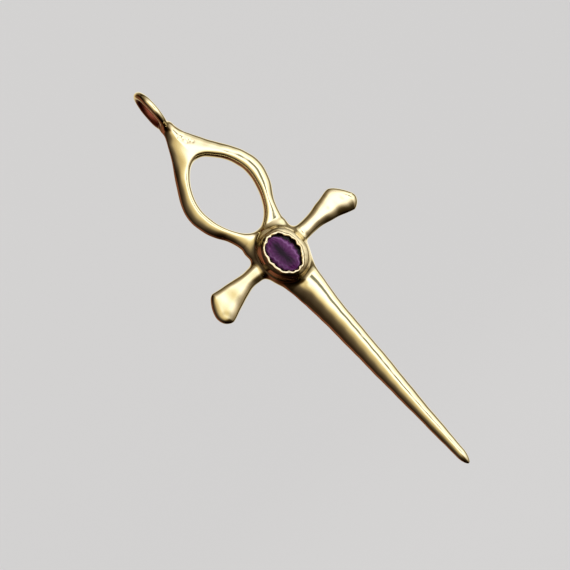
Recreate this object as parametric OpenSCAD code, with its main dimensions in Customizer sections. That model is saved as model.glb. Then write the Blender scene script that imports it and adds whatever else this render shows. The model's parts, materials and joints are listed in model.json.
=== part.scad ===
/* [Eye] */
// Radius of the hole through the eye
eye_bore_r = 2.5; // [2.2:0.1:2.8]
// Thickness of the eye's wire, measured outwards from the hole
eye_wire_t = 1.3; // [1.1:0.1:1.5]
// Width of the eye's wire along the hole
eye_wire_w = 1.2; // [1.0:0.1:1.4]

/* [Head loop] */
// Reach of the head loop's left side from the middle of the object
loop_left = 7.1; // [6.5:0.05:7.6]
// Reach of the head loop's right side from the middle of the object
loop_right = 7.5; // [6.9:0.05:8.0]
// Height of the head loop above the centre boss
loop_h = 20.9; // [19:0.1:24]
// Thickness of the head loop, from front to back
loop_t = 2.6; // [2.2:0.1:3.0]

/* [Arms] */
// Reach of the left arm from the middle of the object
left_reach = 14.3; // [12:0.1:17]
// Reach of the right arm from the middle of the object
right_reach = 14.9; // [12:0.1:17]
// Thickness of an arm where it joins the boss
arm_t = 2.6; // [2.2:0.1:3.0]

/* [Stem] */
// Length of the stem below the centre boss
stem_l = 38.4; // [30:0.1:60]
// Width of the stem at its top
stem_w = 5.6; // [4.8:0.1:6.2]
// Thickness of the stem at its top, from front to back
stem_t = 3.1; // [2.6:0.1:3.2]

/* [Boss and setting] */
// Width of the centre boss
boss_w = 8.0; // [7.8:0.1:8.6]
// Thickness of the centre boss, from front to back
boss_t = 3.2; // [3.0:0.1:3.6]
// Thickness of a soldered seam between an arm and the boss
seam_t = 0.35; // [0.2:0.05:0.5]
// Width of the oval stone
stone_w = 6.0; // [5.6:0.1:6.2]
// Length of the oval stone
stone_l = 8.0; // [7.6:0.1:8.2]
// Height of the bezel cup above the boss
bezel_h = 1.9; // [1.8:0.1:2.2]
// Thickness of the bezel wall beside the stone
bezel_wall = 0.35; // [0.3:0.05:0.45]

/* [Hidden] */
$fn = 64;

brass = "gold";
seam_metal = "darkkhaki";

// Heights are measured from the stone's centre, which lies this far below the eye's centre
boss_top = 4.7;
boss_bottom = -5.2;
neck_gap = 0.8;
eye_r = eye_bore_r + eye_wire_t;
stone_drop = boss_top + loop_h + neck_gap + eye_r;

// Roundness of the rod sections: 2 is an ellipse, and more is squarer
rod_power = 2.4;
ring_points = 16;

// Head loop: [outer point, inner point] pairs down one side, as fractions of that side's
// reach and of the height above the boss. The loop is cut flat at 0 and at 1.
loop_pairs = [
    [[0.00, 1.10], [0.00, 0.735]],
    [[0.154, 1.00], [0.13, 0.725]],
    [[0.42, 0.83], [0.27, 0.69]],
    [[0.69, 0.685], [0.42, 0.63]],
    [[0.91, 0.54], [0.57, 0.53]],
    [[1.00, 0.405], [0.645, 0.40]],
    [[0.895, 0.25], [0.60, 0.27]],
    [[0.67, 0.11], [0.47, 0.16]],
    [[0.575, 0.01], [0.32, 0.09]],
    [[0.50, -0.05], [0.16, 0.053]],
    [[0.00, -0.05], [0.00, 0.043]]
];

// Arms: [upper point, lower point, share of the thickness] from the boss to the tip.
// Each point is [fraction of the reach, height]; the last pair meets at the tip.
left_pairs = [
    [[0.31, 2.15], [0.31, -1.20], 1.00],
    [[0.42, 1.93], [0.42, -0.62], 0.94],
    [[0.57, 2.10], [0.57, -1.15], 0.90],
    [[0.71, 2.40], [0.71, -1.85], 0.86],
    [[0.85, 2.68], [0.85, -2.50], 0.80],
    [[0.915, 2.40], [0.94, -2.72], 0.70],
    [[0.955, 1.70], [0.98, -2.45], 0.56],
    [[0.975, 0.80], [0.995, -1.75], 0.38],
    [[0.992, -0.40], [0.992, -0.40], 0.00]
];
right_pairs = [
    [[0.30, 2.15], [0.30, -1.20], 1.00],
    [[0.41, 1.90], [0.41, -0.72], 0.94],
    [[0.55, 2.15], [0.55, -0.80], 0.90],
    [[0.69, 2.60], [0.69, -1.20], 0.86],
    [[0.82, 2.92], [0.82, -1.75], 0.80],
    [[0.885, 2.60], [0.935, -2.05], 0.70],
    [[0.93, 1.85], [0.975, -1.85], 0.56],
    [[0.965, 0.90], [0.995, -1.20], 0.38],
    [[0.992, 0.00], [0.992, 0.00], 0.00]
];

// Stem: [fraction of the length, share of the top width, share of the top thickness]
stem_stations = [
    [0.00, 1.00, 1.00], [0.05, 0.905, 0.99], [0.125, 0.785, 0.97], [0.255, 0.685, 0.935],
    [0.385, 0.62, 0.885], [0.515, 0.56, 0.84], [0.645, 0.485, 0.76], [0.775, 0.41, 0.66],
    [0.89, 0.34, 0.565], [0.95, 0.28, 0.47], [0.98, 0.19, 0.32], [0.995, 0.09, 0.16]
];

// Setting: depths are measured forwards from the middle of the boss
boss_front = boss_t / 2;
girdle_y = boss_front + 1.0;
rim_y = boss_front + bezel_h;
girdle_gap = 0.02;
girdle_half = 0.08;
pavilion_in = 1.2;
pavilion_drop = 0.87;
lip_cover = 0.6;
lip_t = 0.3;
pocket_r = 1.95;
pocket_l = 6.0;
pocket_depth = 1.7;
bearing_w = 0.55;
oval_points = 48;

function spow(v, p) = sign(v) * pow(abs(v), p);

// A smooth curve through a list of points, n steps between each two
function smooth(p0, p1, p2, p3, t) =
    0.5 * (2 * p1 + (p2 - p0) * t + (2 * p0 - 5 * p1 + 4 * p2 - p3) * t * t
           + (3 * p1 - p0 - 3 * p2 + p3) * t * t * t);
function smooth_closed(p, n) = [for (i = [0 : len(p) - 1], k = [0 : n - 1])
    let (c = len(p))
    smooth(p[(i + c - 1) % c], p[i], p[(i + 1) % c], p[(i + 2) % c], k / n)];
function smooth_open(p, n) = [for (i = [0 : len(p) - 2], k = [0 : (i == len(p) - 2 ? n : n - 1)])
    smooth(p[max(i - 1, 0)], p[i], p[i + 1], p[min(i + 2, len(p) - 1)], k / n)];

// One rounded ring between two points [x, z], with a half thickness in y
function rod_ring(a, b, half_t) = [for (i = [0 : ring_points - 1])
    let (angle = 360 * i / ring_points,
         c = spow(cos(angle), 2 / rod_power),
         s = spow(sin(angle), 2 / rod_power),
         mid = (a + b) / 2,
         out = (a - b) / 2)
    [mid[0] + out[0] * c, half_t * s, mid[1] + out[1] * c]];

function flat(list) = [for (part = list, item = part) item];

// Triangles between ring r and ring r2 of m points each
function band(r, r2, m) = flat([for (i = [0 : m - 1]) let (j = (i + 1) % m) [
    [r * m + i, r * m + j, r2 * m + j], [r * m + i, r2 * m + j, r2 * m + i]]]);

// A solid through a list of rings, with a flat cap at each end
module lofted(rings) {
    m = len(rings[0]);
    n = len(rings);
    polyhedron(points = flat(rings), faces = concat(
        flat([for (r = [0 : n - 2]) band(r, r + 1, m)]),
        [[for (i = [m - 1 : -1 : 0]) i]],
        [[for (i = [0 : m - 1]) (n - 1) * m + i]]));
}

// A solid whose last ring closes onto one point
module lofted_to_point(rings, tip) {
    m = len(rings[0]);
    n = len(rings);
    polyhedron(points = concat(flat(rings), [tip]), faces = concat(
        flat([for (r = [0 : n - 2]) band(r, r + 1, m)]),
        [[for (i = [m - 1 : -1 : 0]) i]],
        [for (i = [0 : m - 1]) [(n - 1) * m + i, (n - 1) * m + (i + 1) % m, n * m]]));
}

// A closed tube through a list of rings, the last joined back to the first
module lofted_closed(rings) {
    m = len(rings[0]);
    n = len(rings);
    polyhedron(points = flat(rings), faces = flat([for (r = [0 : n - 1]) band(r, (r + 1) % n, m)]));
}

function loop_point(p, side) =
    [side * p[0] * (side < 0 ? loop_left : loop_right), boss_top + p[1] * loop_h];
function loop_side(side, first, last, step) = [for (i = [first : step : last])
    [loop_point(loop_pairs[i][0], side), loop_point(loop_pairs[i][1], side)]];

module head_loop() {
    last = len(loop_pairs) - 1;
    pairs = smooth_closed(concat(loop_side(1, 0, last, 1), loop_side(-1, last - 1, 1, -1)), 4);
    color(brass) translate([0, 0, -stone_drop]) intersection() {
        lofted_closed([for (p = pairs) rod_ring(p[0], p[1], loop_t / 2)]);
        translate([-2 * loop_left, -loop_t, boss_top])
            cube([2 * (loop_left + loop_right), 2 * loop_t, loop_h]);
    }
}

// side is 1 for the right arm and -1 for the left one
module arm(pairs, reach, side) {
    root = boss_w / 2 + seam_t;
    placed = [for (p = pairs) [
        [p[0][0] * reach, p[0][1]], [p[1][0] * reach, p[1][1]], [p[2], 0]]];
    from_root = concat([[[root, placed[0][0][1]], [root, placed[0][1][1]], placed[0][2]]],
                       [for (i = [1 : len(placed) - 1]) placed[i]]);
    curve = smooth_open(from_root, 4);
    n = len(curve);
    tip = curve[n - 1][0];
    mirror([side < 0 ? 1 : 0, 0, 0]) translate([0, 0, -stone_drop])
        lofted_to_point([for (i = [0 : n - 2])
            rod_ring(curve[i][0], curve[i][1], curve[i][2][0] * arm_t / 2)],
            [tip[0], 0, tip[1]]);
}

module left_arm() {
    color(brass) arm(left_pairs, left_reach, -1);
}

module right_arm() {
    color(brass) arm(right_pairs, right_reach, 1);
}

// The seam is the arm's own root section, a little proud, laid against the boss
module arm_seam(pairs, side) {
    proud = 0.1;
    near = boss_w / 2;
    top = pairs[0][0][1] + proud;
    bottom = pairs[0][1][1] - proud;
    half_t = arm_t / 2 + proud;
    mirror([side < 0 ? 1 : 0, 0, 0]) translate([0, 0, -stone_drop])
        lofted([for (x = [near, near + seam_t]) rod_ring([x, top], [x, bottom], half_t)]);
}

module solder_left_arm() {
    color(seam_metal) arm_seam(left_pairs, -1);
}

module solder_right_arm() {
    color(seam_metal) arm_seam(right_pairs, 1);
}

module pin_stem() {
    top = boss_bottom;
    curve = smooth_open(stem_stations, 2);
    color(brass) translate([0, 0, -stone_drop]) lofted_to_point([for (s = curve)
        [for (i = [0 : ring_points - 1])
            let (angle = -360 * i / ring_points)
            [s[1] * stem_w / 2 * spow(cos(angle), 2 / rod_power),
             s[2] * stem_t / 2 * spow(sin(angle), 2 / rod_power),
             top - s[0] * stem_l]]],
        [0, 0, top - stem_l]);
}

// The space behind the stone: a round-ended slot
module pocket() {
    step = pocket_l / 2 - pocket_r;
    for (side = [-1, 1])
        translate([0, side * step, 0]) cylinder(r = pocket_r, h = 2 * pocket_depth);
    translate([-pocket_r, -step, 0]) cube([2 * pocket_r, 2 * step, 2 * pocket_depth]);
}

module centre_boss() {
    half = boss_w / 2;
    outline = [[half, boss_top], [half, -1.6], [half * 0.86, -3.2], [stem_w / 2, boss_bottom],
               [-stem_w / 2, boss_bottom], [-half * 0.86, -3.2], [-half, -1.6], [-half, boss_top]];
    color(brass) translate([0, 0, -stone_drop]) rotate([90, 0, 0]) difference() {
        linear_extrude(height = boss_t, center = true) polygon(outline);
        translate([0, 0, boss_front - pocket_depth]) pocket();
    }
}

// An upright ring of wire, round-cornered, with a true bore
module bail_eye() {
    mid_r = eye_bore_r + eye_wire_t / 2;
    corner_r = 0.6 * max(eye_wire_t, eye_wire_w);
    color(brass) rotate([0, 90, 0]) rotate_extrude() intersection() {
        translate([mid_r, 0]) circle(r = corner_r);
        translate([eye_bore_r, -eye_wire_w / 2]) square([eye_wire_t, eye_wire_w]);
    }
}

// The neck that fills the gap between the loop's flat top and the eye's wire
module solder_apex() {
    half_w = 0.95;
    half_t = 1.2;
    rise = neck_gap + 0.35;
    color(seam_metal) difference() {
        translate([-half_w, -half_t, -eye_r - neck_gap]) cube([2 * half_w, 2 * half_t, rise]);
        rotate([0, 90, 0]) cylinder(r = eye_r, h = 4 * half_w, center = true);
    }
}

function oval(half_x, half_z, y) = [for (i = [0 : oval_points - 1])
    let (angle = 360 * i / oval_points) [half_x * cos(angle), -y, half_z * sin(angle)]];

// The cup's profile as rings [half width, half length, depth], round and back inside
module bezel_cup() {
    sx = stone_w / 2 + girdle_gap;
    sz = stone_l / 2 + girdle_gap;
    profile = [
        [sx + bezel_wall + 0.3, sz + bezel_wall + 0.1, boss_front],
        [sx + bezel_wall + 0.05, sz + bezel_wall, girdle_y - 0.5],
        [sx + bezel_wall - 0.1, sz + bezel_wall - 0.15, girdle_y + 0.2],
        [sx - lip_cover + lip_t + 0.1, sz - lip_cover + lip_t + 0.05, rim_y - 0.15],
        [sx - lip_cover + lip_t / 2, sz - lip_cover + lip_t / 2, rim_y],
        [sx - lip_cover, sz - lip_cover - 0.1, rim_y - 0.1],
        [sx, sz, girdle_y + 0.1],
        [sx, sz, boss_front]
    ];
    color(brass) translate([0, 0, -stone_drop])
        lofted_closed([for (p = profile) oval(p[0], p[1], p[2])]);
}

module solder_bezel() {
    sx = stone_w / 2 + girdle_gap + bezel_wall + 0.3;
    sz = stone_l / 2 + girdle_gap + bezel_wall + 0.1;
    fillet = 0.22;
    color(seam_metal) translate([0, 0, -stone_drop]) lofted_closed([
        oval(sx, sz, boss_front),
        oval(sx + fillet, sz + fillet, boss_front),
        oval(sx - 0.03, sz - 0.01, boss_front + fillet)]);
}

module bezel_bearing() {
    sx = stone_w / 2 + girdle_gap;
    sz = stone_l / 2 + girdle_gap;
    seat_y = girdle_y - girdle_half - girdle_gap;
    seat_drop = bearing_w * pavilion_drop / pavilion_in;
    color(seam_metal) translate([0, 0, -stone_drop]) lofted_closed([
        oval(sx, sz, boss_front),
        oval(sx, sz, seat_y),
        oval(sx - bearing_w, sz - bearing_w, seat_y - seat_drop),
        oval(sx - bearing_w, sz - bearing_w, boss_front)]);
}

// An oval cut stone: flat table, crown, girdle and a keeled underside
module amethyst_stone() {
    half_w = stone_w / 2;
    half_l = stone_l / 2;
    keel_y = boss_front - pocket_depth + 0.15;
    color("mediumorchid") translate([0, 0, -stone_drop]) lofted([
        oval(0.1 * half_w, 0.35 * half_l, keel_y),
        oval(half_w - pavilion_in, half_l - pavilion_in, girdle_y - girdle_half - pavilion_drop),
        oval(half_w, half_l, girdle_y - girdle_half),
        oval(half_w, half_l, girdle_y + girdle_half),
        oval(0.82 * half_w, 0.84 * half_l, girdle_y + 0.6),
        oval(0.6 * half_w, 0.68 * half_l, girdle_y + 0.85)]);
}

bail_eye();
solder_apex();
head_loop();
centre_boss();
left_arm();
right_arm();
solder_left_arm();
solder_right_arm();
pin_stem();
bezel_cup();
solder_bezel();
bezel_bearing();
amethyst_stone();
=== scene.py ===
import json
import math

import bmesh
import bpy
import numpy as np
from mathutils import Matrix, Vector


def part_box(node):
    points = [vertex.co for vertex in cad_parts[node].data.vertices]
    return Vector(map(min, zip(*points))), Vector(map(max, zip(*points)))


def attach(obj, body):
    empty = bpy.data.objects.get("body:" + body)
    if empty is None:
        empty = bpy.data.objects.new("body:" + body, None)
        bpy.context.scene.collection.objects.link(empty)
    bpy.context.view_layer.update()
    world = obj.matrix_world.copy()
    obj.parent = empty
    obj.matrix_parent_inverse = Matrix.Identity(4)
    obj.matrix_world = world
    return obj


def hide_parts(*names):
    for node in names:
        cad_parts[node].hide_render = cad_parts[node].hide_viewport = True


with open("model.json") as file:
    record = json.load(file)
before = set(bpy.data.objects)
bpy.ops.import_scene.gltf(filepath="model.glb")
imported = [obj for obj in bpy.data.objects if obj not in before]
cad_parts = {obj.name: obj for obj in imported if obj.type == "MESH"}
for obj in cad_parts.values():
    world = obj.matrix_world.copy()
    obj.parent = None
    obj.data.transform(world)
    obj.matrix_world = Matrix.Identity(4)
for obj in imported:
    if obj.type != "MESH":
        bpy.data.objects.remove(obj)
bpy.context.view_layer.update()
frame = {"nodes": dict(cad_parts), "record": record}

# ---------------------------------------------------------------- sizes, in millimetres
# Heights are measured from the stone's centre. x is to the viewer's right, y to the back.
MM = 0.001


def box_mm(node):
    low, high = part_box(node)
    return np.array(low) / MM, np.array(high) / MM


STONE_LOW, STONE_HIGH = box_mm("amethyst_stone")
STONE_Z = (STONE_LOW[2] + STONE_HIGH[2]) / 2


def node_range(node, axis):
    low, high = box_mm(node)
    drop = STONE_Z if axis == 2 else 0.0
    return low[axis] - drop, high[axis] - drop


BOSS_BOTTOM, BOSS_TOP = node_range("centre_boss", 2)
BOSS_HALF_W = node_range("centre_boss", 0)[1]
BOSS_HALF_T = node_range("centre_boss", 1)[1]
LOOP_TOP = node_range("head_loop", 2)[1]
LOOP_H = LOOP_TOP - BOSS_TOP
LOOP_LEFT, LOOP_RIGHT = node_range("head_loop", 0)
LOOP_HALF_T = node_range("head_loop", 1)[1]
LEFT_REACH = -node_range("left_arm", 0)[0]
RIGHT_REACH = node_range("right_arm", 0)[1]
ARM_ROOT = node_range("right_arm", 0)[0]
ARM_HALF_T = node_range("right_arm", 1)[1]
STEM_TIP = node_range("pin_stem", 2)[0]
STEM_L = BOSS_BOTTOM - STEM_TIP
STEM_HALF_W = node_range("pin_stem", 0)[1]
STEM_HALF_T = node_range("pin_stem", 1)[1]
EYE_Z = -STONE_Z
EYE_OUTER_R = node_range("bail_eye", 1)[1]
EYE_HALF_W = node_range("bail_eye", 0)[1]
EYE_BORE_R = next(m for m in frame["record"]["mounts"] if m["name"] == "bail_eye")["dims"]["r_mm"]
CUP_HALF_W = node_range("bezel_cup", 0)[1]
CUP_HALF_L = node_range("bezel_cup", 2)[1]
RIM_Y = node_range("bezel_cup", 1)[0]
STONE_HALF_W = STONE_HIGH[0]
STONE_HALF_L = (STONE_HIGH[2] - STONE_LOW[2]) / 2

# Where the boss ends and the setting begins, and where the neck becomes the eye
SETTING_Y = -(BOSS_HALF_T + 0.2)
EYE_CUT = EYE_Z - EYE_OUTER_R + 0.35
# The stone's widest level, and the slot behind the stone
GIRDLE_Y = -(BOSS_HALF_T + 1.0)
POCKET_R, POCKET_L, POCKET_Y = 1.95, 6.0, 0.1


# ---------------------------------------------------------------- outlines
def smooth_line(points, steps, closed=False):
    """A Catmull-Rom curve through the points."""
    p = np.array(points, float)
    if closed:
        p = np.vstack([p[-1:], p, p[:2]])
    else:
        p = np.vstack([2 * p[0] - p[1], p, 2 * p[-1] - p[-2]])
    t = np.linspace(0, 1, steps, endpoint=False)[:, None]
    out = []
    for a, b, c, d in zip(p, p[1:], p[2:], p[3:]):
        out.append(0.5 * (2 * b + (c - a) * t + (2 * a - 5 * b + 4 * c - d) * t ** 2
                          + (3 * b - a - 3 * c + d) * t ** 3))
    return np.vstack(out + ([] if closed else [p[-2:-1]]))


def mirrored(points):
    """A right side from top to bottom, closed with its mirror image."""
    right = np.array(points, float)
    left = right[-2:0:-1] * (-1, 1)
    return np.vstack([right, left])


# The head loop's two outlines, as fractions of its reach to that side and of its height
LOOP_OUTER = [(0.0, 1.11), (0.154, 1.0), (0.42, 0.83), (0.69, 0.685), (0.91, 0.54), (1.0, 0.405),
              (0.895, 0.25), (0.67, 0.11), (0.575, 0.01), (0.54, -0.08), (0.5, -0.16), (0.0, -0.18)]
LOOP_INNER = [(0.0, 0.730), (0.18, 0.710), (0.34, 0.658), (0.49, 0.595), (0.60, 0.505),
              (0.645, 0.40), (0.59, 0.27), (0.46, 0.165), (0.305, 0.09), (0.15, 0.048),
              (0.0, 0.037)]

# The two arms are one bar: upper and lower edges and ends, as (fraction of the reach, height)
BAR_TOP = [(-1.2, 2.3), (-1.0, 2.55), (-0.86, 2.68), (-0.71, 2.42), (-0.57, 2.12), (-0.42, 1.92),
           (-0.2, 2.0), (0.2, 2.0), (0.41, 1.9), (0.55, 2.12), (0.69, 2.55), (0.84, 2.92),
           (1.0, 2.9), (1.2, 2.7)]
BAR_BOTTOM = [(-1.2, -3.6), (-1.0, -3.15), (-0.86, -2.65), (-0.71, -1.9), (-0.57, -1.2),
              (-0.44, -0.8), (-0.2, -0.95), (0.2, -0.95), (0.43, -0.75), (0.57, -0.92),
              (0.71, -1.35), (0.85, -2.0), (1.0, -2.6), (1.2, -3.3)]
LEFT_END = [(-0.90, 4.5), (-0.935, 2.5), (-0.975, 0.9), (-0.998, -0.6), (-0.99, -1.9),
            (-0.955, -3.0), (-0.9, -4.5)]
RIGHT_END = [(0.83, 4.8), (0.915, 2.8), (0.99, 0.8), (1.03, -0.5), (1.02, -1.6),
             (0.985, -2.6), (0.92, -4.0)]

# The stem: (fraction of its length, half width, half thickness, as shares of those at its top)
STEM = [(-0.32, 1.45, 0.94), (-0.24, 1.44, 0.97), (-0.16, 1.42, 1.0), (-0.11, 1.38, 1.0),
        (-0.083, 1.29, 1.0), (-0.057, 1.18, 1.0), (-0.031, 1.085, 1.0), (0.0, 1.0, 1.0),
        (0.05, 0.905, 0.99), (0.125, 0.785, 0.97), (0.255, 0.685, 0.935), (0.385, 0.62, 0.885),
        (0.515, 0.56, 0.84), (0.645, 0.485, 0.76), (0.775, 0.41, 0.66), (0.89, 0.34, 0.565),
        (1.0, 0.27, 0.45), (1.2, 0.2, 0.3)]


def loop_outline(points):
    line = smooth_line(mirrored(points), 8, closed=True)
    reach = np.where(line[:, :1] < 0, -LOOP_LEFT, LOOP_RIGHT)
    return line * np.hstack([reach, np.full_like(reach, LOOP_H)]) + (0, BOSS_TOP)


def bar_line(points):
    line = smooth_line(points, 8)
    reach = np.where(line[:, :1] < 0, LEFT_REACH, RIGHT_REACH)
    return line * np.hstack([reach, np.ones_like(reach)])


# ---------------------------------------------------------------- the metal as a field
# The field is close to the signed distance to the metal's surface, negative inside.
def line_distance(x, z, line, closed=False):
    """Distance to a line of points, positive inside a closed line or left of an open one."""
    best = np.full(x.shape, 1e9)
    side = np.ones(x.shape)
    inside = np.zeros(x.shape, bool)
    ends = np.roll(line, -1, axis=0) if closed else line[1:]
    for (ax, az), (bx, bz) in zip(line, ends):
        dx, dz = bx - ax, bz - az
        t = np.clip(((x - ax) * dx + (z - az) * dz) / (dx * dx + dz * dz), 0, 1)
        ex, ez = x - ax - t * dx, z - az - t * dz
        away = ex * ex + ez * ez
        nearer = away < best
        best = np.where(nearer, away, best)
        if closed:
            crosses = (az > z) != (bz > z)
            if az != bz:
                inside ^= crosses & (x < dx * (z - az) / dz + ax)
        else:
            side = np.where(nearer, np.sign(dx * ez - dz * ex), side)
    if closed:
        side = np.where(inside, 1.0, -1.0)
    return side * np.sqrt(best)


# The least half width that a section is given, in millimetres
THINNEST = 0.2


def rounded(shares, sizes, power):
    """A rounded form: the shares are positions as fractions of the sizes, and 1 is the surface."""
    total = 0.0
    square = 0.0
    for share, size in zip(shares, sizes):
        total = total + np.abs(share) ** power
        square = square + (share * size) ** 2
    radius = np.maximum(total, 1e-9) ** (1 / power)
    return np.sqrt(square) * (1 - 1 / radius)


def blend(a, b, reach):
    """The union of two fields with a fillet."""
    h = np.clip(0.5 + 0.5 * (b - a) / reach, 0, 1)
    return b + (a - b) * h - reach * h * (1 - h)


def trim(a, b, reach):
    """What two fields share, with the edge rounded."""
    return -blend(-a, -b, reach)


# How far the loop's crest lies from the opening, and the power of the loop's section
LOOP_CREST, LOOP_CREST_MOST = 0.68, 0.8
LOOP_INNER_POWER, LOOP_OUTER_POWER = 2.4, 1.9


def loop_field(x, y, z):
    outer = line_distance(x, z, loop_outline(LOOP_OUTER), closed=True)
    inner = -line_distance(x, z, loop_outline(LOOP_INNER), closed=True)
    half_w = np.maximum((outer + inner) / 2, THINNEST)
    across = (inner - outer) / 2
    # The crest of the rod lies nearer the opening, and the outer side slopes away from it
    crest = np.minimum(LOOP_CREST * half_w, LOOP_CREST_MOST) - half_w
    reach = np.where(across > crest, half_w - crest, half_w + crest)
    on_left = np.clip(-x / 2, 0, 1)
    near_boss = np.clip((8 - z) / 3, 0, 1)
    power = np.where(across > crest, LOOP_OUTER_POWER - 0.2 * on_left + 0.5 * near_boss,
                     LOOP_INNER_POWER)
    return rounded(((across - crest) / reach, y / LOOP_HALF_T), (reach, LOOP_HALF_T), power)


LEFT_END_R, RIGHT_END_R = 1.3, 1.0
BAR_POWER = 2.15


def bar_field(x, y, z):
    top = -line_distance(x, z, bar_line(BAR_TOP))
    bottom = line_distance(x, z, bar_line(BAR_BOTTOM))
    left = line_distance(x, z, bar_line(LEFT_END))
    right = -line_distance(x, z, bar_line(RIGHT_END))
    half_w = np.maximum((top + bottom) / 2, THINNEST)
    across = (bottom - top) / 2
    end_r = np.where(x < 0, LEFT_END_R, RIGHT_END_R)
    end = np.maximum(1 - np.minimum(left, right) / end_r, 0)
    out = np.abs(x) / RIGHT_REACH
    half_t = ARM_HALF_T * (1.0 - 0.25 * np.clip((out - 0.3) / 0.6, 0, 1))
    # The right arm's underside slopes away from a crest below its middle
    right_side = np.clip((x - 5) / 3, 0, 1)
    crest = -0.15 * half_w * right_side
    reach = half_w - np.sign(across - crest) * crest
    power = BAR_POWER - right_side * np.where(across < crest, 0.45, 0.05)
    half_t = half_t * (1 + 0.1 * right_side)
    return rounded(((across - crest) / reach, end, y / half_t), (reach, end_r, half_t), power)


# Down the stem: its twist, how far its crest lies off its middle, and the power of its section
# on the left and on the right. The first of each pair of lists is the share of the length.
TWIST_AT, TWIST = [0.0, 0.07, 0.25, 0.5, 0.72], [0.08, 0.2, 0.18, 0.07, -0.04]
CREST_AT, CREST = [-0.05, 0.03, 0.1, 0.22, 0.35], [0.0, -0.4, -0.35, -0.1, 0.0]
POWER_AT, POWER_LEFT = [-0.08, 0.0, 0.06, 0.2, 0.4], [3.05, 1.6, 1.42, 1.72, 1.85]
POWER_RIGHT = [3.05, 1.92, 1.88, 1.85, 1.88]
STEM_TIP_R, STEM_HEAD_R = 2.2, 1.6


def stem_field(x, y, z):
    share = (BOSS_BOTTOM - z) / STEM_L
    stations = smooth_line(STEM, 6)
    half_w = STEM_HALF_W * np.interp(share, stations[:, 0], stations[:, 1])
    half_t = STEM_HALF_T * np.interp(share, stations[:, 0], stations[:, 2])
    tip = np.maximum(1 - (z - STEM_TIP) / STEM_TIP_R, 0)
    head = np.maximum(1 - (BOSS_TOP + 0.3 - z) / STEM_HEAD_R, 0)
    crest = np.interp(share, CREST_AT, CREST)
    on_left = x < crest
    power = np.where(on_left, np.interp(share, POWER_AT, POWER_LEFT),
                     np.interp(share, POWER_AT, POWER_RIGHT))
    reach = np.where(on_left, half_w + crest, half_w - crest)
    # Hammered with a slight twist, so its crest faces a little to the left
    y = y + np.interp(share, TWIST_AT, TWIST) * x
    return rounded(((x - crest) / reach, y / half_t, tip, head),
                   (reach, half_t, STEM_TIP_R, STEM_HEAD_R), power)


def pocket_field(x, y, z):
    """The slot behind the stone."""
    step = POCKET_L / 2 - POCKET_R
    away = np.sqrt(x * x + (z - np.clip(z, -step, step)) ** 2) - POCKET_R
    return np.maximum(away, y - POCKET_Y)


# Depths in front of the middle, and how far the cup's outside has drawn in there: on its
# steep side, and on its gentle side, which is at the right and a little below the middle
CUP_DEPTHS = [BOSS_HALF_T - 1, BOSS_HALF_T, 2.0, 2.4, 2.8, 3.1, 3.3]
CUP_STEEP = [-0.15, 0.0, 0.08, 0.2, 0.4, 0.62, 0.84]
CUP_GENTLE = [-0.6, -0.45, -0.3, -0.12, 0.12, 0.5, 0.84]
GENTLE_SIDE = math.radians(-9)


def cup_inset(depth, angle):
    """How far the cup's outside has drawn in at a depth in front of the middle."""
    gentle = np.clip(0.35 + 0.8 * np.cos(angle - GENTLE_SIDE), 0, 1)
    steep_in, gentle_in = (np.interp(depth, CUP_DEPTHS, c) for c in (CUP_STEEP, CUP_GENTLE))
    lumps = 0.04 * np.sin(5 * angle + 0.5) + 0.03 * np.sin(9 * angle + 2.0)
    return steep_in + (gentle_in - steep_in) * gentle + lumps


def cup_field(x, y, z):
    inset = cup_inset(-y, np.arctan2(z, x))
    half_w, half_l = CUP_HALF_W - inset, CUP_HALF_L - inset
    away = np.maximum(np.sqrt((x / half_w) ** 2 + (z / half_l) ** 2), 1e-6)
    wall = np.sqrt(x * x + z * z) * (1 - 1 / away)
    return np.maximum(wall, y)


# The neck stands a little to the right of the middle
NECK_X = 0.25
NECK_FOOT, NECK_HEAD = LOOP_TOP - 1.4, LOOP_TOP + 0.9
NECK_END_R = 1.0
NECK_POWER, EYE_POWER = 2.2, 2.1


def neck_field(x, y, z):
    share = np.clip((z - (LOOP_TOP - 1.2)) / 3.0, 0, 1)
    half_w = 1.06 - 0.12 * share
    half_t = 1.0 + 0.15 * share
    foot = np.maximum(1 - (z - NECK_FOOT) / NECK_END_R, 0)
    head = np.maximum((z - NECK_HEAD) / NECK_END_R, 0)
    return rounded(((x - NECK_X) / half_w, y / half_t, foot, head),
                   (half_w, half_t, NECK_END_R, NECK_END_R), NECK_POWER)


def eye_field(x, y, z):
    half_t = (EYE_OUTER_R - EYE_BORE_R) / 2
    across = np.sqrt(y * y + (z - EYE_Z) ** 2) - (EYE_BORE_R + half_t)
    return rounded((across / half_t, x / EYE_HALF_W), (half_t, EYE_HALF_W), EYE_POWER)


def hand_finish(x, y, z):
    """Slow unevenness left by filing and polishing by hand."""
    return (0.040 * np.sin(0.85 * x + 0.6 * z + 1.0) * np.sin(0.35 * z - 0.9 * x + 2.0 + 0.5 * y)
            + 0.018 * np.sin(1.9 * x - 1.2 * z + 0.4) * np.sin(1.4 * z + 0.7 * x + 1.1 * y))


# Dents in the front: x, height, radius, depth
DENTS = [(-13.0, -1.15, 0.6, 0.10), (-12.2, -0.2, 1.1, 0.04), (-0.5, -5.6, 0.45, 0.07),
         (0.4, 24.2, 0.2, 0.12), (0.65, 23.75, 0.26, 0.17), (0.95, 23.25, 0.22, 0.15),
         (1.25, 22.8, 0.26, 0.16), (1.5, 22.35, 0.18, 0.12), (0.8, 22.9, 0.18, 0.11)]


def dents(x, y, z):
    total = 0.0
    for at_x, at_z, radius, depth in DENTS:
        total = total + depth * np.exp(-((x - at_x) ** 2 + (z - at_z) ** 2) / radius ** 2)
    return total * (y < 0)


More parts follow.
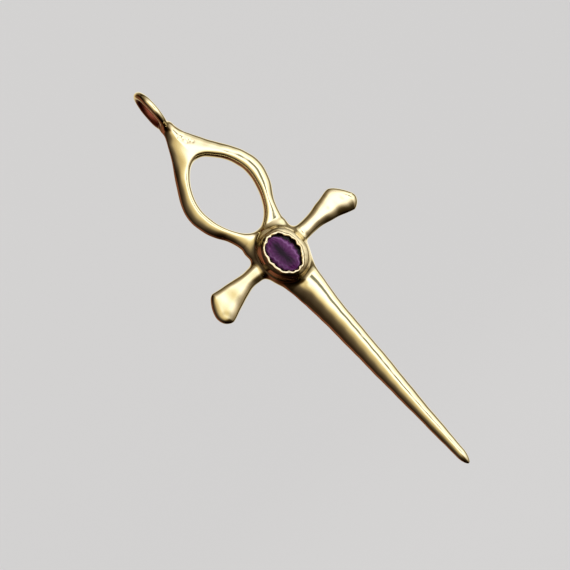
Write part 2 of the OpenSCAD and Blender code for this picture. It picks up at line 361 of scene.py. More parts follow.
# The sizes of the fillets where one form runs into the next, and of the rounding at the back
STEM_FILLET, BAR_FILLET, CUP_FILLET, NECK_FILLET, EYE_FILLET = 0.7, 1.1, 0.9, 0.8, 1.1
BACK_ROUNDING = 0.2


def body_field(x, y, z):
    metal = blend(loop_field(x, y, z), stem_field(x, y, z), STEM_FILLET)
    metal = blend(metal, bar_field(x, y, z), BAR_FILLET)
    metal = trim(metal, y - BOSS_HALF_T, BACK_ROUNDING)
    metal = blend(metal, cup_field(x, y, z), CUP_FILLET)
    metal = blend(metal, neck_field(x, y, z), NECK_FILLET)
    return metal + hand_finish(x, y, z) + dents(x, y, z)


def boss_field(x, y, z):
    return np.maximum(body_field(x, y, z), -pocket_field(x, y, z))


def top_field(x, y, z):
    metal = blend(loop_field(x, y, z), neck_field(x, y, z), NECK_FILLET)
    metal = blend(metal, eye_field(x, y, z), EYE_FILLET)
    return metal + hand_finish(x, y, z)


# ---------------------------------------------------------------- field to mesh
class Grid:
    """A field sampled on a regular grid, which can be read between its points."""

    def __init__(self, field, low, high, step):
        self.low = np.array(low, float)
        self.step = step
        self.axes = [np.arange(a, b + step, step) for a, b in zip(low, high)]
        x, y, z = (v.reshape(s) for v, s in zip(self.axes, ((-1, 1, 1), (1, -1, 1), (1, 1, -1))))
        flat_x, flat_z = np.broadcast_arrays(x, z)
        self.values = field(flat_x, y, flat_z).astype(np.float32)

    def read(self, points, values=None):
        values = self.values if values is None else values
        at = (points - self.low) / self.step
        top = np.array(values.shape) - 2
        cell = np.clip(np.floor(at).astype(int), 0, top)
        part = np.clip(at - cell, 0, 1)
        total = 0.0
        for dx in (0, 1):
            for dy in (0, 1):
                for dz in (0, 1):
                    weight = (np.abs(1 - dx - part[:, 0]) * np.abs(1 - dy - part[:, 1])
                              * np.abs(1 - dz - part[:, 2]))
                    total = total + weight * values[cell[:, 0] + dx, cell[:, 1] + dy,
                                                    cell[:, 2] + dz]
        return total

    def slope(self, points):
        reach = self.step
        out = np.empty_like(points)
        for axis in range(3):
            shift = np.zeros(3)
            shift[axis] = reach
            out[:, axis] = (self.read(points + shift) - self.read(points - shift)) / (2 * reach)
        return out

    def normals(self, points):
        slope = self.slope(points)
        return slope / np.maximum(np.linalg.norm(slope, axis=1, keepdims=True), 1e-9)

    def settle(self, points, rounds=3):
        """Moves points onto the surface."""
        for _ in range(rounds):
            slope = self.slope(points)
            size = np.maximum((slope ** 2).sum(1), 0.05)
            points = points - slope * (self.read(points) / size)[:, None]
        return points

    def surface(self):
        """Points and four-sided faces of the surface, one point in each cell it crosses."""
        v = self.values
        inside = v < 0
        shape = np.array(v.shape) - 1
        count = np.zeros(shape, np.int8)
        corner = [(i, j, k) for i in (0, 1) for j in (0, 1) for k in (0, 1)]
        for i, j, k in corner:
            count += inside[i:i + shape[0], j:j + shape[1], k:k + shape[2]]
        cells = np.argwhere((count > 0) & (count < 8))
        number = np.full(shape, -1, np.int64)
        number[tuple(cells.T)] = np.arange(len(cells))
        total = np.zeros((len(cells), 3))
        hits = np.zeros(len(cells))
        for a in corner:
            for axis in range(3):
                if a[axis]:
                    continue
                b = list(a)
                b[axis] = 1
                va = v[tuple((cells + a).T)]
                vb = v[tuple((cells + b).T)]
                cross = (va < 0) != (vb < 0)
                t = np.where(cross, va / np.where(cross, va - vb, 1), 0)
                place = np.array(a, float) + np.zeros((len(cells), 3))
                place[:, axis] += t
                total += place * cross[:, None]
                hits += cross
        points = (cells + total / hits[:, None]) * self.step + self.low
        faces = []
        for axis in range(3):
            other = [(1, 2), (2, 0), (0, 1)][axis]
            near = inside[tuple(slice(None, -1) if k == axis else slice(1, -1) for k in range(3))]
            far = inside[tuple(slice(1, None) if k == axis else slice(1, -1) for k in range(3))]
            for flip, mask in ((False, near & ~far), (True, ~near & far)):
                at = np.argwhere(mask)
                at[:, other[0]] += 1
                at[:, other[1]] += 1
                ring = []
                for da, db in ((0, 0), (1, 0), (1, 1), (0, 1)):
                    c = at.copy()
                    c[:, other[0]] -= 1 - da
                    c[:, other[1]] -= 1 - db
                    ring.append(number[tuple(c.T)])
                quad = np.stack(ring, 1)
                faces.append(quad[:, ::-1] if flip else quad)
        return self.settle(points), np.vstack(faces)


def to_frame(points):
    """From millimetres about the stone to metres in the frame."""
    return (points + (0, 0, STONE_Z)) * MM


# Limits of a piece: each axis has a low and a high one, and FREE means none
FREE = 999.0
ALL = (-FREE, FREE)
# Points nearer than this to a cutting plane count as on it
ON_PLANE = 1e-5


def keep_near(points, faces, limits, margin):
    """The faces with a corner near the space between the limits."""
    near = np.ones(len(points), bool)
    for axis, (low, high) in enumerate(limits):
        near &= (points[:, axis] > low - margin) & (points[:, axis] < high + margin)
    wanted = near[faces].any(1)
    faces = faces[wanted]
    used = np.unique(faces)
    renumber = np.zeros(len(points), np.int64)
    renumber[used] = np.arange(len(used))
    return points[used], renumber[faces]


def cut_piece(name, grid, surface, limits):
    """One solid piece: the surface between the limits, closed flat where it was cut."""
    points, faces = keep_near(*surface, limits, 2 * grid.step)
    mesh = bpy.data.meshes.new(name)
    mesh.from_pydata(points.tolist(), [], faces.tolist())
    bm = bmesh.new()
    bm.from_mesh(mesh)
    cap = bm.faces.layers.int.new("cap")
    for axis, (low, high) in enumerate(limits):
        for limit, sign in ((low, -1), (high, 1)):
            if abs(limit) == FREE:
                continue
            place, normal = [0.0] * 3, [0.0] * 3
            place[axis], normal[axis] = limit, sign
            geometry = bm.verts[:] + bm.edges[:] + bm.faces[:]
            cut = bmesh.ops.bisect_plane(bm, geom=geometry, plane_co=place, plane_no=normal,
                                         clear_outer=True, dist=ON_PLANE)
            rim = [e for e in cut["geom_cut"] if isinstance(e, bmesh.types.BMEdge)]
            if rim:
                made = bmesh.ops.triangle_fill(bm, use_beauty=True, use_dissolve=False, edges=rim)
                for face in made["geom"]:
                    if isinstance(face, bmesh.types.BMFace):
                        face[cap] = 1
    bmesh.ops.recalc_face_normals(bm, faces=bm.faces[:])
    bm.to_mesh(mesh)
    bm.free()
    finish_normals(mesh, grid)
    return add_piece(name, mesh)


def finish_normals(mesh, grid):
    """Smooth normals taken from the field, and flat ones on the cut faces."""
    count = len(mesh.vertices)
    points = np.zeros(count * 3)
    mesh.vertices.foreach_get("co", points)
    points = points.reshape(-1, 3)
    normals = grid.normals(points)
    loops = len(mesh.loops)
    owner = np.zeros(loops, np.int64)
    mesh.loops.foreach_get("vertex_index", owner)
    sides = np.zeros(len(mesh.polygons), np.int64)
    mesh.polygons.foreach_get("loop_total", sides)
    cap = np.zeros(len(mesh.polygons), np.int32)
    mesh.attributes["cap"].data.foreach_get("value", cap)
    flat = np.zeros(len(mesh.polygons) * 3)
    mesh.polygons.foreach_get("normal", flat)
    on_cap = np.repeat(cap.astype(bool), sides)
    chosen = np.where(on_cap[:, None], np.repeat(flat.reshape(-1, 3), sides, axis=0),
                      normals[owner])
    mesh.attributes.remove(mesh.attributes["cap"])
    mesh.vertices.foreach_set("co", to_frame(points).ravel())
    mesh.polygons.foreach_set("use_smooth", np.ones(len(mesh.polygons), bool))
    mesh.update()
    mesh.normals_split_custom_set(chosen.tolist())


def add_piece(name, mesh):
    piece = bpy.data.objects.new(name, mesh)
    bpy.context.scene.collection.objects.link(piece)
    return piece


# ---------------------------------------------------------------- the setting
def lip_shape(angle):
    """How the hand-pushed lip strays from a true oval, in millimetres, round the stone."""
    return (0.05 * np.sin(3 * angle + 0.6) + 0.05 * np.sin(5 * angle + 2.1)
            + 0.15 * np.abs(np.sin(4.5 * angle + 0.3)) + 0.13 * np.abs(np.sin(7.5 * angle + 1.0))
            + 0.035 * np.sin(19 * angle + 0.4) - 0.13)


LIP_WIDTH = 0.46
# (share of the way in across the lip, how far forward of the wall's top, share of the jags)
LIP_PROFILE = [(0.04, 0.35, 0.0), (0.12, 0.7, 0.1), (0.25, 0.92, 0.2), (0.45, 1.0, 0.45),
               (0.7, 0.95, 0.75), (0.88, 0.8, 0.95), (0.97, 0.5, 1.0), (1.0, 0.1, 1.0),
               (0.95, -0.5, 1.0), (0.8, -1.0, 0.8)]


# How far in front of the middle the collar stops following the metal's field
FOOT_TOP = 2.4
# The collar's inside stands off the stone by this much
STONE_GAP = 0.02


def bezel_cup(grid):
    """A collar that follows the metal's field at its foot and rises to an uneven lip."""
    around = 288
    angle = np.linspace(0, 2 * np.pi, around, endpoint=False)
    cos, sin = np.cos(angle), np.sin(angle)
    uneven = lip_shape(angle)
    rings = []

    def ring(half_w, half_l, y, stray=0.0):
        rings.append(np.stack([(half_w + stray) * cos, np.broadcast_to(y, cos.shape),
                               (half_l + stray) * sin], 1))

    def foot(y):
        """A ring on the metal's surface, found by halving the way out from the stone's edge."""
        inner = np.stack([STONE_HALF_W * cos, np.full(around, y), STONE_HALF_L * sin], 1)
        outward = inner * (1, 0, 1)
        low = np.zeros(around)
        high = np.full(around, 0.6)
        for _ in range(26):
            mid = (low + high) / 2
            inside = grid.read(inner + outward * mid[:, None]) < 0
            low = np.where(inside, mid, low)
            high = np.where(inside, high, mid)
        rings.append(inner + outward * low[:, None])

    for depth in np.linspace(-SETTING_Y, FOOT_TOP, 8):
        foot(-depth)
    crest = -RIM_Y
    wall_top = CUP_DEPTHS[-1]
    for depth in np.linspace(FOOT_TOP + 0.08, wall_top, 12):
        inset = cup_inset(depth, angle)
        share = (depth - FOOT_TOP) / (crest - FOOT_TOP)
        ring(CUP_HALF_W - inset, CUP_HALF_L - inset, -depth, 0.6 * uneven * share ** 2)
    lip_w, lip_l = CUP_HALF_W - CUP_STEEP[-1], CUP_HALF_L - CUP_STEEP[-1]
    wander = 0.03 * np.sin(2 * angle + 1.0) + 0.03 * np.sin(7 * angle) + 0.015 * np.sin(16 * angle)
    for inward, rise, jag in LIP_PROFILE:
        stray = (1 - jag) * 0.5 * uneven + jag * uneven
        ring(lip_w - LIP_WIDTH * inward, lip_l - LIP_WIDTH * inward,
             -(wall_top + (crest - wall_top) * rise + wander * (rise > 0)), stray)
    for y in (GIRDLE_Y - 0.15, SETTING_Y):
        ring(STONE_HALF_W + STONE_GAP, STONE_HALF_L + STONE_GAP, y)
    points = np.vstack(rings)
    faces = []
    for r in range(len(rings)):
        a, b = r * around, (r + 1) % len(rings) * around
        for i in range(around):
            j = (i + 1) % around
            faces.append((a + i, a + j, b + j, b + i))
    mesh = bpy.data.meshes.new("bezel_cup")
    mesh.from_pydata(to_frame(points).tolist(), [], faces)
    bm = bmesh.new()
    bm.from_mesh(mesh)
    bmesh.ops.recalc_face_normals(bm, faces=bm.faces[:])
    bm.to_mesh(mesh)
    bm.free()
    mesh.polygons.foreach_set("use_smooth", np.ones(len(mesh.polygons), bool))
    return add_piece("bezel_cup_visual", mesh)


# The table and the keel as shares of the stone's own half width and half length, and how far in
# and down the first row of facets on the underside reaches
TABLE_W, TABLE_L, KEEL_L = 0.6, 0.66, 0.4
UNDER_IN, UNDER_DROP = 1.2, 0.87
GIRDLE_HALF_T = 0.08
MAIN_FACETS = 8
ROUGH_STONE = 12.0


def amethyst():
    """An oval cut: table, crown, girdle, and an underside whose facets meet in a keel."""
    table_y, keel_y = STONE_LOW[1], STONE_HIGH[1]
    crown_y, under_y = GIRDLE_Y - GIRDLE_HALF_T, GIRDLE_Y + GIRDLE_HALF_T
    crown_rise = crown_y - table_y
    drop = keel_y - under_y
    bm = bmesh.new()
    bmesh.ops.create_cube(bm, size=ROUGH_STONE)

    def cut(point, normal):
        geometry = bm.verts[:] + bm.edges[:] + bm.faces[:]
        made = bmesh.ops.bisect_plane(bm, geom=geometry, plane_co=point, plane_no=normal,
                                      clear_outer=True, dist=ON_PLANE)
        rim = [e for e in made["geom_cut"] if isinstance(e, bmesh.types.BMEdge)]
        if rim:
            bmesh.ops.holes_fill(bm, edges=rim, sides=0)

    def facet(angle, reach, y, run, rise):
        """A plane through the oval's edge at y, rising by rise over a run towards the middle."""
        outward = np.array([math.cos(angle), 0.0, math.sin(angle)])
        edge = math.hypot(STONE_HALF_W * outward[0], STONE_HALF_L * outward[2])
        cut(outward * edge * reach + (0, y, 0),
            outward * abs(rise) + (0, math.copysign(run, rise), 0))

    for i in range(2 * MAIN_FACETS):
        facet(math.pi * (i + 0.5) / MAIN_FACETS, 1.0, GIRDLE_Y, 0.0, 1.0)
    for i in range(2 * MAIN_FACETS):
        angle = math.pi * i / MAIN_FACETS
        cos, sin = math.cos(angle), math.sin(angle)
        edge = math.hypot(STONE_HALF_W * cos, STONE_HALF_L * sin)
        under_run = edge - KEEL_L * STONE_HALF_L * abs(sin)
        table_run = edge - math.hypot(TABLE_W * STONE_HALF_W * cos, TABLE_L * STONE_HALF_L * sin)
        main = i % 2 == 0
        facet(angle, 1.0, under_y, UNDER_IN, UNDER_DROP * (1.0 if main else 1.1))
        facet(angle, (edge - UNDER_IN) / edge, under_y + UNDER_DROP,
              under_run - UNDER_IN, (drop - UNDER_DROP) * (1.0 if main else 1.05))
        facet(angle, 1.0, crown_y, table_run, -crown_rise * (1.0 if main else 1.2))
        if not main:
            facet(angle, 0.80, table_y + 0.3 * crown_rise, table_run, -crown_rise * 0.5)
    cut((0, table_y, 0), (0, -1, 0))
    cut((0, keel_y, 0), (0, 1, 0))
    bmesh.ops.recalc_face_normals(bm, faces=bm.faces[:])
    for v in bm.verts:
        v.co = Vector(to_frame(np.array(v.co)))
    mesh = bpy.data.meshes.new("amethyst_stone")
    bm.to_mesh(mesh)
    bm.free()
    return add_piece("amethyst_visual", mesh)


# ---------------------------------------------------------------- materials
def new_material(name):
    material = bpy.data.materials.new(name)
    material.use_nodes = True
    tree = material.node_tree
    return material, tree, tree.nodes["Principled BSDF"]


def object_noise(tree, scale, detail):
    """The value of a noise fixed to the piece."""
    place = tree.nodes.new("ShaderNodeTexCoord")
    noise = tree.nodes.new("ShaderNodeTexNoise")
    noise.inputs["Scale"].default_value = scale
    noise.inputs["Detail"].default_value = detail
    tree.links.new(place.outputs["Object"], noise.inputs["Vector"])
    return noise.outputs["Fac"]


def object_position(tree):
    place = tree.nodes.new("ShaderNodeTexCoord")
    split = tree.nodes.new("ShaderNodeSeparateXYZ")
    tree.links.new(place.outputs["Object"], split.inputs["Vector"])
    return split.outputs


def calculate(tree, operation, *sources):
    """The output of a Math node whose inputs are numbers or other nodes' outputs."""
    node = tree.nodes.new("ShaderNodeMath")
    node.operation = operation
    for socket, source in zip(node.inputs, sources):
        if isinstance(source, float):
            socket.default_value = source
        else:
            tree.links.new(source, socket)
    return node.outputs[0]


def ramp_over(tree, source, low, high, stops):
    """The color at a value between low and high, from (share of the way, color) stops."""
    share = tree.nodes.new("ShaderNodeMapRange")
    share.inputs["From Min"].default_value = low
    share.inputs["From Max"].default_value = high
    tree.links.new(source, share.inputs["Value"])
    ramp = tree.nodes.new("ShaderNodeValToRGB")
    tree.links.new(share.outputs["Result"], ramp.inputs["Fac"])
    elements = ramp.color_ramp.elements
    elements.remove(elements[-1])
    elements[0].position, elements[0].color = stops[0][0], (*stops[0][1], 1)
    for position, color in stops[1:]:
        elements.new(position).color = (*color, 1)
    return ramp.outputs["Color"]


def mix_colors(tree, blend_type, factor, a, b):
    """A Mix node's output; the factor and the colors are values or other nodes' outputs."""
    mix = tree.nodes.new("ShaderNodeMix")
    mix.data_type = "RGBA"
    mix.blend_type = blend_type
    # The RGBA sockets come after those for numbers and for vectors
    for socket, source in zip((mix.inputs[0], mix.inputs[6], mix.inputs[7]), (factor, a, b)):
        if isinstance(source, float):
            socket.default_value = source
        elif isinstance(source, tuple):
            socket.default_value = (*source, 1)
        else:
            tree.links.new(source, socket)
    return mix.outputs[2]


# How much of a noise's range the tones and the haze of the metal use
NOISE_LOW, NOISE_HIGH = 0.3, 0.7
HAMMERED_DEPTH = 0.00002


def brass_material(name, light, dark, rough_low, rough_high, bump):
    """Polished brass: slight changes of tone, a finer haze, and fine marks in relief."""
    material, tree, shader = new_material(name)
    shader.inputs["Metallic"].default_value = 1.0
    tone = ramp_over(tree, object_noise(tree, 220.0, 4.0), 0.0, 1.0,
                     [(NOISE_LOW, dark), (NOISE_HIGH, light)])
    tree.links.new(tone, shader.inputs["Base Color"])
    haze = tree.nodes.new("ShaderNodeMapRange")
    haze.inputs["From Min"].default_value = NOISE_LOW
    haze.inputs["From Max"].default_value = NOISE_HIGH
    haze.inputs["To Min"].default_value = rough_low
    haze.inputs["To Max"].default_value = rough_high
    tree.links.new(object_noise(tree, 900.0, 6.0), haze.inputs["Value"])
    tree.links.new(haze.outputs["Result"], shader.inputs["Roughness"])
    marks = tree.nodes.new("ShaderNodeBump")
    marks.inputs["Strength"].default_value = bump
    marks.inputs["Distance"].default_value = HAMMERED_DEPTH
    tree.links.new(object_noise(tree, 1600.0, 3.0), marks.inputs["Height"])
    tree.links.new(marks.outputs["Normal"], shader.inputs["Normal"])
    return material


# A painted red-brown reflection on the eye's metal towards its hole, and how much rougher the metal
# is there
EYE_PAINTED_REFLECTION = (0.29, 0.082, 0.046)
NEAR_BORE_ROUGHNESS = 0.42
NONE, FULL = (0.0, 0.0, 0.0), (1.0, 1.0, 1.0)


def paint_eye_reflection(material):
    """Paints a red-brown reflection into the eye's metal towards its hole, and makes the metal
    rougher there.
    """
    tree = material.node_tree
    shader = tree.nodes["Principled BSDF"]
    polished_color = shader.inputs["Base Color"].links[0].from_socket
    haze = shader.inputs["Roughness"].links[0].from_socket
    place = object_position(tree)
    square = [calculate(tree, "POWER", calculate(tree, "ABSOLUTE", place[axis]), 2.0)
              for axis in ("Y", "Z")]
    radius = calculate(tree, "SQRT", calculate(tree, "ADD", *square))
    inner, outer = (EYE_BORE_R + 0.25) * MM, (EYE_BORE_R + 0.75) * MM
    unpainted_share = ramp_over(tree, radius, inner, outer, [(0.0, NONE), (1.0, FULL)])
    # Painted red-brown reflection, strongest at the hole
    with_painted_reflection = mix_colors(tree, "MIX", unpainted_share, EYE_PAINTED_REFLECTION, polished_color)
    tree.links.new(with_painted_reflection, shader.inputs["Base Color"])
    dull = calculate(tree, "MULTIPLY", calculate(tree, "SUBTRACT", 1.0, unpainted_share), NEAR_BORE_ROUGHNESS)
    tree.links.new(calculate(tree, "ADD", haze, dull), shader.inputs["Roughness"])


# (share of the way from the keel to the rim, color), and the ends of that way
# The stone's purple with painted shade, dark at the keel and at the rim, and a painted highlight
# band at 0.64
STONE_COLOR_AND_PAINTED_LIGHT = [(0.0, (0.022, 0.002, 0.018)), (0.12, (0.030, 0.003, 0.028)),
               (0.24, (0.10, 0.014, 0.10)), (0.42, (0.20, 0.036, 0.20)),
               (0.56, (0.29, 0.076, 0.30)), (0.64, (0.50, 0.22, 0.54)),
               (0.70, (0.27, 0.07, 0.29)), (0.78, (0.12, 0.02, 0.11)),
               (0.84, (0.012, 0.005, 0.009)), (1.0, (0.008, 0.004, 0.005))]
BANDS_FROM, BANDS_TO = 0.18, 1.5
# The painted shade of the keel: its place to the left of the middle, in millimetres, its lean, and
# where it fades
KEEL_LEFT, KEEL_LEAN, KEEL_FADES = 0.18, -0.03, 0.38
# How much of the stone the lip hides at each side and each end
HIDDEN_W, HIDDEN_L = 1.0, 0.9


def amethyst_material():
    """Deep purple with painted light and shade: a dark keel down its middle, paler bands and a
    bright line beside it, a dark rim, and fan lines and a right side painted brighter.
    """
    material, tree, shader = new_material("amethyst")
    place = object_position(tree)
    # Position about the keel, in millimetres, and the angle round it
    along = calculate(tree, "MULTIPLY_ADD", place["Z"], 1 / MM, -STONE_Z)
    lean = calculate(tree, "MULTIPLY", along, KEEL_LEAN)
    across = calculate(tree, "MULTIPLY_ADD", place["X"], 1 / MM, KEEL_LEFT)
    across = calculate(tree, "SUBTRACT", across, lean)
    angle = calculate(tree, "ARCTAN2", calculate(tree, "MULTIPLY", along, 0.75), across)
    turns = calculate(tree, "MULTIPLY", angle, MAIN_FACETS / math.pi)
    facets = calculate(tree, "PINGPONG", turns, 0.5)
    # 0 on the keel and 1 at the edge of what the lip leaves clear
    share = calculate(tree, "DIVIDE", along, STONE_HALF_L - HIDDEN_L)
    rest = calculate(tree, "SUBTRACT", 1.0, calculate(tree, "MULTIPLY", share, share))
    width = calculate(tree, "SQRT", calculate(tree, "MAXIMUM", rest, 0.0004))
    edge = calculate(tree, "MULTIPLY", width, STONE_HALF_W - HIDDEN_W)
    outward = calculate(tree, "DIVIDE", calculate(tree, "ABSOLUTE", across), edge)
    # The keel's painted shade stops short of the ends
    past_keel = calculate(tree, "SUBTRACT", calculate(tree, "ABSOLUTE", share), KEEL_FADES)
    outward = calculate(tree, "MAXIMUM", outward, past_keel)
    # Painted facets and uneven color break the bands up
    outward = calculate(tree, "MULTIPLY_ADD", facets, 0.24, outward)
    outward = calculate(tree, "MULTIPLY_ADD", object_noise(tree, 900.0, 4.0), 0.34, outward)
    bands = ramp_over(tree, outward, BANDS_FROM, BANDS_TO, STONE_COLOR_AND_PAINTED_LIGHT)
    # Painted highlights: narrow facet lines fan out from the ends of the keel, and the right side
    # is painted brighter, as if lit from the right
    spread = calculate(tree, "MAXIMUM", width, 0.35)
    fan = calculate(tree, "SINE", calculate(
        tree, "DIVIDE", calculate(tree, "MULTIPLY", across, 9.0), spread))
    near_end = calculate(tree, "MULTIPLY", calculate(tree, "ABSOLUTE", share), 0.45)
    shade = calculate(tree, "MULTIPLY_ADD", calculate(tree, "MULTIPLY", fan, near_end), 0.5, 0.66)
    shade = calculate(tree, "MULTIPLY_ADD", across, 0.09, shade)
    shades = ramp_over(tree, shade, 0.0, 1.0, [(0.0, NONE), (1.0, FULL)])
    # The base color holds the painted light and shade as well as the purple
    tree.links.new(mix_colors(tree, "MULTIPLY", 1.0, bands, shades), shader.inputs["Base Color"])
    shader.inputs["Roughness"].default_value = 0.04
    shader.inputs["IOR"].default_value = 1.544
    shader.inputs["Specular IOR Level"].default_value = 0.035
    shader.inputs["Transmission Weight"].default_value = 0.15
    return material


# ---------------------------------------------------------------- pieces
BODY_STEP, TOP_STEP = 0.11, 0.09
body_grid = Grid(body_field, (-LEFT_REACH - 0.6, SETTING_Y - 0.9, STEM_TIP - 0.6),
                 (RIGHT_REACH + 0.6, BOSS_HALF_T + 0.5, LOOP_TOP + 1.0), BODY_STEP)
boss_grid = Grid(boss_field, (-BOSS_HALF_W - 0.5, SETTING_Y - 0.6, BOSS_BOTTOM - 0.5),
                 (BOSS_HALF_W + 0.5, BOSS_HALF_T + 0.5, BOSS_TOP + 0.5), BODY_STEP)
top_grid = Grid(top_field, (-2.4, -EYE_OUTER_R - 0.5, LOOP_TOP - 1.0),
                (2.4, EYE_OUTER_R + 0.5, EYE_Z + EYE_OUTER_R + 0.5), TOP_STEP)

LIGHT_BRASS, DARK_BRASS = (0.92, 0.82, 0.54), (0.88, 0.775, 0.49)
polished = brass_material("polished_brass", LIGHT_BRASS, DARK_BRASS, 0.05, 0.11, 0.2)
seam = brass_material("solder_seam", (0.90, 0.78, 0.50), (0.80, 0.66, 0.40), 0.08, 0.2, 0.6)
burnished = brass_material("burnished_bezel", (0.92, 0.80, 0.54), (0.86, 0.73, 0.45),
                           0.08, 0.18, 0.5)
eye_brass = brass_material("eye_brass", LIGHT_BRASS, DARK_BRASS, 0.05, 0.11, 0.2)
# The eye's metal gets a painted red-brown reflection towards its hole
paint_eye_reflection(eye_brass)
purple = amethyst_material()

CENTRE = (BOSS_BOTTOM, BOSS_TOP)
BODY_PIECES = [
    ("head_loop", (ALL, ALL, (BOSS_TOP, LOOP_TOP)), polished, "brass"),
    ("left_arm", ((-FREE, -ARM_ROOT), ALL, CENTRE), polished, "brass"),
    ("right_arm", ((ARM_ROOT, FREE), ALL, CENTRE), polished, "brass"),
    ("solder_left_arm", ((-ARM_ROOT, -BOSS_HALF_W), ALL, CENTRE), seam, "solder"),
    ("solder_right_arm", ((BOSS_HALF_W, ARM_ROOT), ALL, CENTRE), seam, "solder"),
    ("pin_stem", (ALL, ALL, (-FREE, BOSS_BOTTOM)), polished, "brass"),
]
BOSS_PIECES = [
    ("centre_boss", ((-BOSS_HALF_W, BOSS_HALF_W), (SETTING_Y, FREE), CENTRE), polished, "brass"),
]
TOP_PIECES = [
    ("solder_apex", (ALL, ALL, (LOOP_TOP, EYE_CUT)), seam, "solder"),
    ("bail_eye", (ALL, ALL, (EYE_CUT, FREE)), eye_brass, "brass"),
]


def place_piece(piece, node, material):
    piece.data.materials.append(material)
    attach(piece, "root")
    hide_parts(node)


for grid, rows in ((body_grid, BODY_PIECES), (boss_grid, BOSS_PIECES), (top_grid, TOP_PIECES)):
    surface = grid.surface()
    for node, limits, material, slot in rows:
        place_piece(cut_piece(node + "_visual", grid, surface, limits), node, material)
place_piece(bezel_cup(body_grid), "bezel_cup", burnished)
place_piece(amethyst(), "amethyst_stone", purple)

for node in ("bezel_bearing", "solder_bezel"):
    materials = frame["nodes"][node].data.materials
    materials.clear()
    materials.append(seam)


# ---------------------------------------------------------------- studio
def studio():
    """A pale bowl: flat floor, wide curve and upright wall, the same from every side."""
    below_tip = 30.0
    floor_z = (STONE_Z + STEM_TIP - below_tip) * MM
    flat_r, curve_r, wall_h = 0.55, 0.45, 0.9
    bends, around = 12, 72
    profile = [(0.0, 0.0), (flat_r * 0.5, 0.0)]
    for i in range(bends + 1):
        bend = math.radians(90 * i / bends)
        profile.append((flat_r + curve_r * math.sin(bend), curve_r * (1 - math.cos(bend))))
    profile.append((flat_r + curve_r, wall_h + curve_r))
    points, faces = [], []
    for r, h in profile:
        for i in range(around):
            turn = 2 * math.pi * i / around
            points.append((r * math.cos(turn), r * math.sin(turn), floor_z + h))
    for k in range(len(profile) - 1):
        for i in range(around):
            j = (i + 1) % around
            faces.append((k * around + i, k * around + j, (k + 1) * around + j,
                          (k + 1) * around + i))
    mesh = bpy.data.meshes.new("floor")
    mesh.from_pydata(points, [], faces)
    mesh.polygons.foreach_set("use_smooth", [True] * len(faces))
    bowl = bpy.data.objects.new("floor", mesh)
    bpy.context.scene.collection.objects.link(bowl)
    material, _, shader = new_material("pale_floor")
    shader.inputs["Base Color"].default_value = (0.22, 0.217, 0.217, 1)
    shader.inputs["Roughness"].default_value = 0.9
    shader.inputs["Specular IOR Level"].default_value = 0.1
    shader.inputs["Emission Color"].default_value = (0.99, 0.985, 0.985, 1)
    shader.inputs["Emission Strength"].default_value = 0.5
    mesh.materials.append(material)
    bowl.visible_glossy = False


def soft_light(name, place, target, size, power):
    data = bpy.data.lights.new(name, "AREA")
    data.size = size
    data.energy = power
    light = bpy.data.objects.new(name, data)
    light.location = place
    light.rotation_mode = "QUATERNION"
    light.rotation_quaternion = (Vector(target) - Vector(place)).to_track_quat("-Z", "Y")
    light.visible_glossy = False
    bpy.context.scene.collection.objects.link(light)


RED_BROWN = (0.125, 0.044, 0.029)
DIM_RED = (0.078, 0.035, 0.019)
BLACK = (0.016, 0.010, 0.006)
DARK = (0.035, 0.026, 0.018)
DARK_BROWN = (0.055, 0.042, 0.030)
UMBER = (0.11, 0.09, 0.06)
OLD_GOLD = (0.26, 0.215, 0.14)
GOLDEN = (0.37, 0.31, 0.19)
WARM = (0.50, 0.45, 0.32)
CREAM = (0.62, 0.62, 0.58)
WHITE = (0.9, 0.9, 0.95)
OLIVE = (0.14, 0.15, 0.12)
BROWN = (0.12, 0.10, 0.068)
# (azimuth in degrees from the front towards the right, color)
AROUND = [(-180, GOLDEN), (-170, GOLDEN), (-158, DIM_RED), (-132, DIM_RED), (-121, RED_BROWN),
          (-114, RED_BROWN), (-104, BLACK), (-84, BLACK), (-69, DARK), (-56, DARK_BROWN),
          (-44, UMBER), (-31, OLD_GOLD), (-18, GOLDEN), (-4, WARM), (4, CREAM), (12, WHITE),
          (52, WHITE), (68, CREAM), (81, CREAM), (100, BROWN), (126, BROWN), (138, WARM),
          (158, CREAM), (180, GOLDEN)]
# A dark upright in the studio, seen only near eye level, as colors that multiply the others
CLEAR = (1.0, 1.0, 1.0)
UPRIGHT = [(-180, CLEAR), (21, CLEAR), (28, OLIVE), (38, OLIVE), (45, CLEAR)]
UPRIGHT_HEIGHT = [(-16, 0.1), (-7, 1.0), (7, 1.0), (16, 0.2)]
# (elevation in degrees, brightness) on the left and on the right
UP_LEFT = [(-90, 0.02), (-62, 0.03), (-50, 0.045), (-41, 0.075), (-33, 0.16), (-26, 0.36),
           (-18, 0.68), (-8, 1.0), (36, 1.0), (45, 0.6), (55, 0.29), (67, 0.15), (90, 0.11)]
UP_RIGHT = [(-90, 0.12), (-65, 0.17), (-53, 0.24), (-44, 0.38), (-36, 0.53), (-28, 0.75),
            (-19, 0.92), (-8, 1.0), (19, 1.0), (31, 0.7), (42, 0.47), (54, 0.28), (67, 0.15),
            (90, 0.11)]
# Where the left gives way to the right, as shares of a direction's length, and the brightness
LEFT_ENDS, RIGHT_BEGINS = 0.05, 0.4
STUDIO_STRENGTH = 2.0


def warm_dark(v):
    """Dim light is browner than bright light."""
    dim = (1 - v) ** 2
    return v, v * (1 - 0.28 * dim), v * (1 - 0.65 * dim)


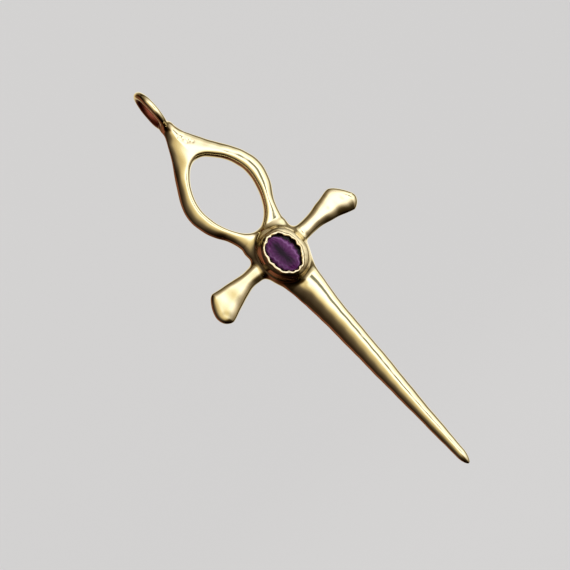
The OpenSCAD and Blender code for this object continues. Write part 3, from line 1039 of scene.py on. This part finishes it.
def world_light():
    """What the polished metal reflects: bright in front and to the right, dark to the left."""
    world = bpy.data.worlds.new("studio")
    bpy.context.scene.world = world
    world.use_nodes = True
    tree = world.node_tree
    background = tree.nodes["Background"]
    place = tree.nodes.new("ShaderNodeTexCoord")
    split = tree.nodes.new("ShaderNodeSeparateXYZ")
    tree.links.new(place.outputs["Generated"], split.inputs["Vector"])
    front = calculate(tree, "MULTIPLY", split.outputs["Y"], -1.0)
    azimuth = calculate(tree, "ARCTAN2", split.outputs["X"], front)
    elevation = calculate(tree, "ARCSINE", split.outputs["Z"])

    def by_azimuth(stops):
        return ramp_over(tree, azimuth, -math.pi, math.pi, [(az / 360 + 0.5, c) for az, c in stops])

    def by_elevation(stops, tint):
        return ramp_over(tree, elevation, -math.pi / 2, math.pi / 2,
                         [(el / 180 + 0.5, tint(v)) for el, v in stops])

    level = by_elevation(UPRIGHT_HEIGHT, lambda v: (v, v, v))
    upright = mix_colors(tree, "MIX", level, CLEAR, by_azimuth(UPRIGHT))
    around = mix_colors(tree, "MULTIPLY", 1.0, by_azimuth(AROUND), upright)
    side = tree.nodes.new("ShaderNodeMapRange")
    side.inputs["From Min"].default_value = LEFT_ENDS
    side.inputs["From Max"].default_value = RIGHT_BEGINS
    tree.links.new(split.outputs["X"], side.inputs["Value"])
    height = mix_colors(tree, "MIX", side.outputs["Result"], by_elevation(UP_LEFT, warm_dark),
                        by_elevation(UP_RIGHT, warm_dark))
    tree.links.new(mix_colors(tree, "MULTIPLY", 1.0, around, height), background.inputs["Color"])
    background.inputs["Strength"].default_value = STUDIO_STRENGTH


def camera():
    """Slightly to the object's left, level, and rolled so that the eye is at the upper left."""
    azimuth, roll = math.radians(-10), math.radians(42.15)
    distance, view_width = 0.300, 0.0877
    aim_right, aim_up = -3.24, -3.79
    back = Vector((math.sin(azimuth), -math.cos(azimuth), 0))
    right = Vector((math.cos(azimuth), math.sin(azimuth), 0))
    up = Vector((0, 0, 1))
    lip = Vector((0, RIM_Y, STONE_Z)) * MM
    aim = lip + (right * aim_right + up * aim_up) * MM
    data = bpy.data.cameras.new("camera")
    data.sensor_width = 36.0
    data.lens = data.sensor_width * distance / view_width
    data.clip_start = 0.01
    shot = bpy.data.objects.new("camera", data)
    shot.location = aim + back * distance
    image_up = up * math.cos(roll) + right * math.sin(roll)
    image_right = image_up.cross(back)
    rows = (image_right, image_up, back)
    shot.rotation_mode = "QUATERNION"
    shot.rotation_quaternion = Matrix(rows).transposed().to_quaternion()
    bpy.context.scene.collection.objects.link(shot)
    bpy.context.scene.camera = shot


studio()
soft_light("overhead", place=(0.1, -0.1, 0.75), target=(0, 0, -0.1), size=0.9, power=3.0)
world_light()
camera()
bpy.context.scene.view_settings.view_transform = "Standard"
